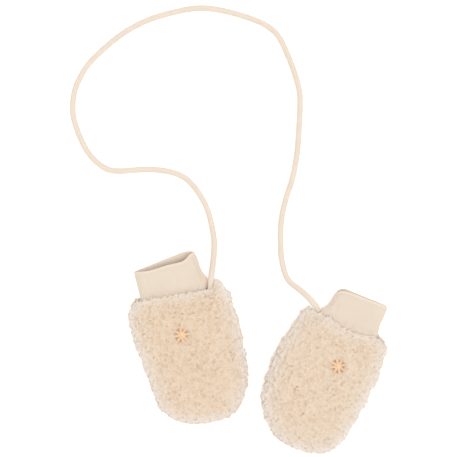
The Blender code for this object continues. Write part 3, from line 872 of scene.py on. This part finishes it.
def pulled(points, mitten, amount):
    """Points of a panel, in the shared frame, drawn to the neck line and, away from it, swayed and nudged."""
    own = to_mitten(points, mitten)
    share = np.clip(-own[..., 1:2] / NECK_REACH, 0, 1)
    own[..., 1] += amount * neck_pull(own, mitten)
    moved = to_world(own, mitten) + eased(share) * np.array([*mitten.sway, 0])
    for x, y, reach, *move in NUDGES[mitten.name]:
        away = np.hypot(points[..., 0] - x, points[..., 1] - y) / reach
        moved += np.exp(-(away[..., None] ** 2)) * np.array([*move, 0])
    return moved


def fringe_leans(roots, mitten, rng):
    """How far each strand leans out over the cuff (strand, 3), at the neck edge only."""
    along = to_mitten(roots, mitten)[:, 1]
    near = np.clip(1 + along / FRINGE, 0, 1) * rng.uniform(0, 1, len(roots))
    return (FRINGE_LEAN * near)[:, None] * np.array([*turned(0, 1, mitten.turn), 0])


def make_strands(shell, mitten, pile, rng):
    """The curled strands of a panel: their tubes' points, middle lines and directions."""
    triangles, shares = scatter(shell, pile.spacing, rng)
    roots = between(shell.points, triangles, shares)
    ups = unit(between(shell.normals, triangles, shares))
    lift = between(shell.lift, triangles, shares)
    count = len(roots)
    heights = pile.rise * lift * rng.uniform(*STRAND_HEIGHT, count)
    small = np.clip(SMALLEST_STRAND + (1 - SMALLEST_STRAND) * lift, 0, 1)[:, None]
    share = np.linspace(0, 1, STRAND_RINGS)[None, :]
    paths = strand_paths(roots, ups, heights, pile, rng)
    paths = paths + fringe_leans(roots, mitten, rng)[:, None] * share[..., None] ** 0.5
    thick = pile.thick * rng.uniform(*STRAND_THICK, (count, 1)) * small
    radii = thick * STRAND_FULL * arch(share, *STRAND_TAPER)
    tubes = tubes_along(paths, radii, ups, STRAND_SIDES)
    tubes[..., 2] = np.maximum(tubes[..., 2], ON_FLOOR)
    return tubes, paths, ups


def set_pile_tone(piece, above, shade, rim):
    """The pile's colour attribute: how high in it each point is, which sets the painted shade between the
    strands, a number of its fibre's own, and how pale the wool is there, from painted light near the rim or
    neck and the mitten's own tone. The wool's look takes the first and the last."""
    tone = np.stack(np.broadcast_arrays(above, shade, rim, 1.0), axis=-1)
    attribute = piece.data.attributes.new("pile", "FLOAT_COLOR", "POINT")
    attribute.data.foreach_set("color", np.clip(tone, 0, 1).astype(np.float32).ravel())


def rim_tree(points, faces):
    """A search tree, seen from above, of places along a panel's outer edge at its seam."""
    near = np.abs(points[:, 2] - SEAM_HEIGHT) < RIM_BAND
    pairs = np.array([pair for face in faces for pair in zip(face, face[1:] + face[:1])])
    pairs = pairs[near[pairs].all(axis=1)]
    start, end = points[pairs[:, 0]], points[pairs[:, 1]]
    places = np.vstack([start * (1 - share) + end * share for share in np.linspace(0, 1, RIM_PLACES)])
    return search_tree([(x, y, 0) for x, y, _ in places.tolist()])


def rim_tone(points, rim, mitten):
    """How pale the wool is at each point: painted light from how near the rim or the neck edge it is, less of
    it low on the wall by the seam, and over all of it the mitten's own paler tone.
    """
    away = np.array([rim.find((x, y, 0))[2] for x, y, _ in points.tolist()])
    neck = NECK_LIGHT * np.clip(1 + to_mitten(points, mitten)[:, 1] / NECK_LIGHT_REACH, 0, 1)
    wall = np.clip((SEAM_HEIGHT + WALL_HEIGHT - points[:, 2]) / WALL_HEIGHT, 0, 1)
    tone = (1 - WALL_TONE * wall) * np.maximum(np.minimum(1, RIM_LIGHT * np.exp(-away / RIM_LIGHT_REACH)), neck)
    return tone + mitten.pale * (1 - tone)


def soften(piece, normals, edges):
    """Shades wool partly by its general form."""
    general = unit(averaged(normals, edges, SHADING_PASSES))
    facing = np.einsum("pk,pk->p", normals, general)
    share = PILE_SOFTNESS * np.clip((facing + SOFT_FROM) / SOFT_OVER, 0, 1)[:, None]
    piece.data.normals_split_custom_set_from_vertices(unit((1 - share) * normals + share * general).tolist())


def make_fleece(name, mitten, shell, tubes, trees, pile, materials, amount):
    """The cloth and its strands as one closed surface, with a knitted back inside. amount is how far it
    follows the neck line."""
    tree, rim = trees
    points = np.vstack([shell.points, tubes.reshape(-1, 3)])
    faces = shell.faces + closed_tubes(len(tubes), STRAND_RINGS, STRAND_SIDES, len(shell.points))
    piece = new_piece(name, points, faces, materials[0])
    remeshed(piece, pile.voxel)
    _, out, _ = nearest_outer(tree, mesh_arrays(piece.data)[0])
    thinned(piece, out < -pile.depth - THINNED_FROM, INNER_SHARE)
    points, _, edges = mesh_arrays(piece.data)
    points = averaged(points, edges, FELT_PASSES)
    piece.data.vertices.foreach_set("co", points.ravel())
    piece.data.update()
    _, normals, _ = mesh_arrays(piece.data)
    _, out, _ = nearest_outer(tree, points)
    set_materials(piece, out < -pile.depth - BACKING_FROM, materials)
    piece.data.shade_smooth()
    soften(piece, normals, edges)
    # Height in the pile sets the painted shade between the strands; rim_tone sets the painted light near the
    # rim and neck.
    set_pile_tone(piece, 1 + out / pile.depth, 0.5, rim_tone(points, rim, mitten))
    piece.data.vertices.foreach_set("co", pulled(points, mitten, amount).ravel())
    return piece


def make_fibres(name, mitten, tubes, paths, ups, rim, count, material, rng):
    """Fine loose fibres that start on the strands."""
    picked = rng.integers(len(tubes), size=count)
    start, out = on_tubes(tubes, paths, picked, 1, STRAND_RINGS, rng)
    ahead = unit(FIBRE_OUT * out + FIBRE_UP * ups[picked] + FIBRE_STRAY * rng.normal(size=(count, 3)))
    points, faces = strips(start, ahead, FIBRE_LENGTH, FIBRE_WIDTH, rng)
    piece = new_piece(name, points, faces, material)
    # Fibres sit high in the pile, with no painted shade, and take the painted light near the rim and neck.
    tone = rim_tone(start, rim, mitten)[:, None, None]
    set_pile_tone(piece, np.ones((count, FIBRE_RINGS, 2)), rng.random((count, 1, 1)), tone)
    return piece


def make_panel(mitten, part, pile, materials, rng):
    """A fleece panel: its cloth with the felted strands, its loose fibres, and the upper one's star."""
    node = f"{mitten.name}_{part}_panel"
    front = part == "front"
    amount = 1 if front else BACK_NECK
    solid, outer = outer_faces(node, mitten, SEAM_HEIGHT - AXIS_DROP if front else SEAM_HEIGHT)
    tree, rim = BVHTree.FromPolygons(solid.tolist(), outer), rim_tree(solid, outer)
    shell = cloth_shell(node, mitten, tree, pile, front, rng)
    tubes, paths, ups = make_strands(shell, mitten, pile, rng)
    fleece = make_fleece(node + "_fleece", mitten, shell, tubes, (tree, rim), pile, materials[:2], amount)
    tubes, paths = pulled(tubes, mitten, amount), pulled(paths, mitten, amount)
    fibres = make_fibres(node + "_fibres", mitten, tubes, paths, ups, rim, pile.fibres, materials[0], rng)
    for piece in (fleece, fibres):
        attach(piece, "root")
    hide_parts(node)
    sewn_on = [make_emblem(mitten, shell, materials[2:], rng)] if front else []


# ---- the stars


def stitch_paths(ray, ground, emblem, rng):
    """The middle lines of a ray's satin stitches, side by side, which dive in at both ends."""
    share = np.linspace(0, 1, THREAD_RINGS)
    turn = 2 * math.pi * (ray + 0.5) / EMBLEM_RAYS
    out, side = np.array([math.cos(turn), math.sin(turn)]), np.array([-math.sin(turn), math.cos(turn)])
    for thread in range(THREADS_A_RAY):
        place = thread - (THREADS_A_RAY - 1) / 2
        reach = EMBLEM_REACH[ray % 2] * (1 - REACH_DROP * abs(place)) * rng.uniform(*REACH_SPREAD)
        along = EMBLEM_START + (reach - EMBLEM_START) * share
        apart_by = place * THREAD * (THREAD_CLOSE + THREAD_BELLY * np.sin(math.pi * share))
        across = apart_by + rng.uniform(-1, 1) * THREAD_STRAY * THREAD
        flat = emblem + along[:, None] * out + across[:, None] * side
        lift = THREAD_LIFT[ray % 2] * arch(share, *THREAD_ARCH)
        yield np.column_stack([flat, ground(flat) + lift + rng.uniform(0, THREAD_HEAP) * THREAD])


def knot_path(number, ground, emblem):
    """The middle line of one of the threads that wind round the star's middle."""
    share = np.linspace(0, 1, THREAD_RINGS)
    turn = 2 * math.pi * (KNOT_TURNS * share + number / KNOT_THREADS)
    radius = KNOT_RADIUS * (1 - KNOT_CLOSING * share)
    flat = emblem + np.column_stack([radius * np.cos(turn), radius * np.sin(turn)])
    height = THREAD_LIFT[0] + THREAD * (KNOT_FOOT + KNOT_RISE * share)
    return np.column_stack([flat, ground(flat).mean() + height])


def make_emblem(mitten, shell, materials, rng):
    """A star of satin stitches round a knot, its long rays light and its short ones dark."""
    cloth = BVHTree.FromPolygons(shell.points.tolist(), shell.faces)

    def ground(flat):
        down = -Vector(UP)
        return THREAD_ROOT + np.array([cloth.ray_cast(Vector((x, y, ABOVE_ALL)), down)[0].z for x, y in flat])

    emblem = np.array(mitten.emblem)
    paths = [path for ray in range(EMBLEM_RAYS) for path in stitch_paths(ray, ground, emblem, rng)]
    paths += [knot_path(number, ground, emblem) for number in range(KNOT_THREADS)]
    count = len(paths)
    thickness = THREAD_THIN + THREAD_SWELL * np.sin(math.pi * np.linspace(0, 1, THREAD_RINGS))
    radii = np.broadcast_to(THREAD / 2 * thickness, (count, THREAD_RINGS))
    tubes = tubes_along(np.array(paths), radii, np.tile([UP], (count, 1)), THREAD_SIDES)
    faces = closed_tubes(count, THREAD_RINGS, THREAD_SIDES)
    piece = new_piece(f"{mitten.name}_star", pulled(tubes, mitten, 1), faces, materials[0])
    thread = np.repeat(np.arange(count), THREAD_RINGS * THREAD_SIDES)
    dark = (thread < EMBLEM_RAYS * THREADS_A_RAY) & (thread // THREADS_A_RAY % 2 == 1)
    set_materials(piece, dark, materials)
    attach(piece, "root")
    return piece


# ---- the cuffs


def crease_depth(mitten, across, along, upper):
    """How far creases push a cuff's wall inwards. upper is 1 on its upper layer and 0 on its under one."""
    depth = np.zeros_like(across)
    for layer, rows in zip((upper, 1 - upper), CREASES[mitten.name]):
        for *ends, width, deep in np.array(rows) * MM:
            start = np.array(ends[:2])
            run = np.array(ends[2:]) - start
            x, y = across - start[0], along - start[1]
            share = np.clip((x * run[0] + y * run[1]) / (run @ run), 0, 1)
            away = np.hypot(x - share * run[0], y - share * run[1])
            fade = CREASE_ENDS + (1 - CREASE_ENDS) * np.sin(math.pi * share)
            depth += deep * fade * layer * np.exp(-((away / width) ** 2))
    return depth


def cuff_ring(mitten, section, inset, rise):
    """One ring of a cuff's wall, creased and inset from its outer face, rise further out than its section."""
    mouth = CUFFS[mitten.name][-1][0] * MM
    share = max(section.along, 0) / mouth
    turn = np.linspace(0, 2 * math.pi, CUFF_COLUMNS, endpoint=False)
    sides = section.outer_side + inset, section.inner_side - inset
    under, top = max(section.under, 0) + inset, section.top - inset
    lowest = section.widest - CUFF_PRESS * (section.widest - under)
    power = NECK_POWER + (MOUTH_POWER - NECK_POWER) * share
    across, up = -np.cos(turn), np.abs(np.sin(turn))
    size = (np.abs(across) ** power + up**power) ** (-1 / power)
    x = sum(sides) / 2 + (sides[1] - sides[0]) / 2 * size * across
    crown = np.where(turn <= math.pi, top, lowest)
    z = section.widest + (crown - section.widest) * size * up
    upper = np.clip(0.5 + LAYER_BLEND * np.sin(turn), 0, 1)
    line = catmull(np.array(RIMS[mitten.name]) * MM, RIM_STEPS)
    rim = np.interp(x, line[:, 0], line[:, 1]) * upper + np.interp(x, line[:, 0], line[:, 2]) * (1 - upper)
    y = section.along + rise + share * (rim - mouth)
    out = unit(np.column_stack([np.roll(z, 1) - np.roll(z, -1), np.roll(x, -1) - np.roll(x, 1)]))
    depth = crease_depth(mitten, x, y, upper)
    x, z = x - depth * out[:, 0], z - depth * out[:, 1]
    return np.stack([x, y, np.maximum(z, under)], axis=-1)


def cuff_rings(mitten):
    """A cuff's rings in its mitten's own frame, and how far along the cloth each is from the mouth: the outer
    layer, the round fold at the mouth, and the inner layer."""
    table = np.array(CUFFS[mitten.name]) * MM
    curve = catmull(table, CUFF_STEPS)
    start, mouth = table[0][0], table[-1][0]
    places = np.linspace(start, mouth, round((mouth - start) / CUFF_RING) + 1)
    rows = [CuffSection(*(np.interp(place, curve[:, 0], column) for column in curve.T)) for place in places]
    half, turns = CUFF_WALL / 2, [math.pi * i / FOLD_RINGS for i in range(1, FOLD_RINGS)]
    made = [(row, 0, 0, row.along - mouth) for row in rows]
    made += [(rows[-1], half * (1 - math.cos(turn)), half * math.sin(turn), half * turn) for turn in turns]
    made += [(row, CUFF_WALL, 0, mouth - row.along) for row in reversed(rows[::INNER_EVERY])]
    rings = [cuff_ring(mitten, row, inset, rise) for row, inset, rise, _ in made]
    return np.array(rings), np.array([along for *_, along in made])


def make_cuff(mitten, material):
    """A cuff of jersey folded double, as one closed tube."""
    rings, along = cuff_rings(mitten)
    count = len(rings)
    columns = np.arange(CUFF_COLUMNS)
    following, last = (columns + 1) % CUFF_COLUMNS, (count - 1) * CUFF_COLUMNS
    hem = np.stack([last + columns, last + following, following, columns], axis=-1)
    faces = [*tube_faces(1, count, CUFF_COLUMNS), *hem]
    obj = new_piece(f"{mitten.name}_cuff_jersey", to_world(rings, mitten), faces, material)
    steps = np.linalg.norm(rings - np.roll(rings, 1, axis=1), axis=-1)
    lengths = np.cumsum(steps, axis=1) - steps[:, :1]
    around = (lengths / steps.sum(axis=1, keepdims=True)).ravel()
    set_uv(obj, "knit", around, np.repeat(along, CUFF_COLUMNS))
    outward(obj)
    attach(obj, "root")
    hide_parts(f"{mitten.name}_cuff")


def outward(obj):
    """Turns all faces outwards."""
    mesh = bmesh.new()
    mesh.from_mesh(obj.data)
    bmesh.ops.recalc_face_normals(mesh, faces=mesh.faces)
    mesh.to_mesh(obj.data)
    mesh.free()


# ---- stage


def make_stage():
    low = min(CAD_BOX[0][2], 0)
    half = FLOOR_SIZE / 2
    x, y = CAMERA_AT[:2]
    around = ((-half, -half), (half, -half), (half, half), (-half, half))
    corners = [(x + i, y + j, low - FLOOR_DROP) for i, j in around]
    floor = new_piece("floor", corners, [(0, 1, 2, 3)], floor_material())
    world = bpy.data.worlds.new("sky")
    bpy.context.scene.world = world
    world.use_nodes = True
    background = world.node_tree.nodes["Background"]
    background.inputs["Color"].default_value = (*WHITE, 1)
    background.inputs["Strength"].default_value = SKY_STRENGTH
    sun = bpy.data.lights.new("sun", "SUN")
    sun.energy = SUN_STRENGTH
    sun.angle = math.radians(SUN_SOFTNESS)
    lamp = link(bpy.data.objects.new("sun", sun))
    lamp.rotation_euler = (math.radians(SUN_TILT[0]), math.radians(SUN_TILT[1]), 0)
    bpy.context.scene.view_settings.view_transform = "Standard"


def main():
    rng = np.random.default_rng(SEED)
    add_camera()
    make_cord(cord_material(), rng)
    peach = thread_material("peach_thread", (0.92, 0.65, 0.43), (0.96, 0.73, 0.51))
    tan = thread_material("tan_thread", (0.56, 0.36, 0.20), (0.68, 0.46, 0.28))
    fleece = (pile_material(), backing_material(), peach, tan)
    jersey = jersey_material()
    for mitten in MITTENS:
        make_panel(mitten, "front", FRONT_PILE, fleece, rng)
        make_panel(mitten, "back", BACK_PILE, fleece, rng)
        make_cuff(mitten, jersey)
    make_stage()


main()
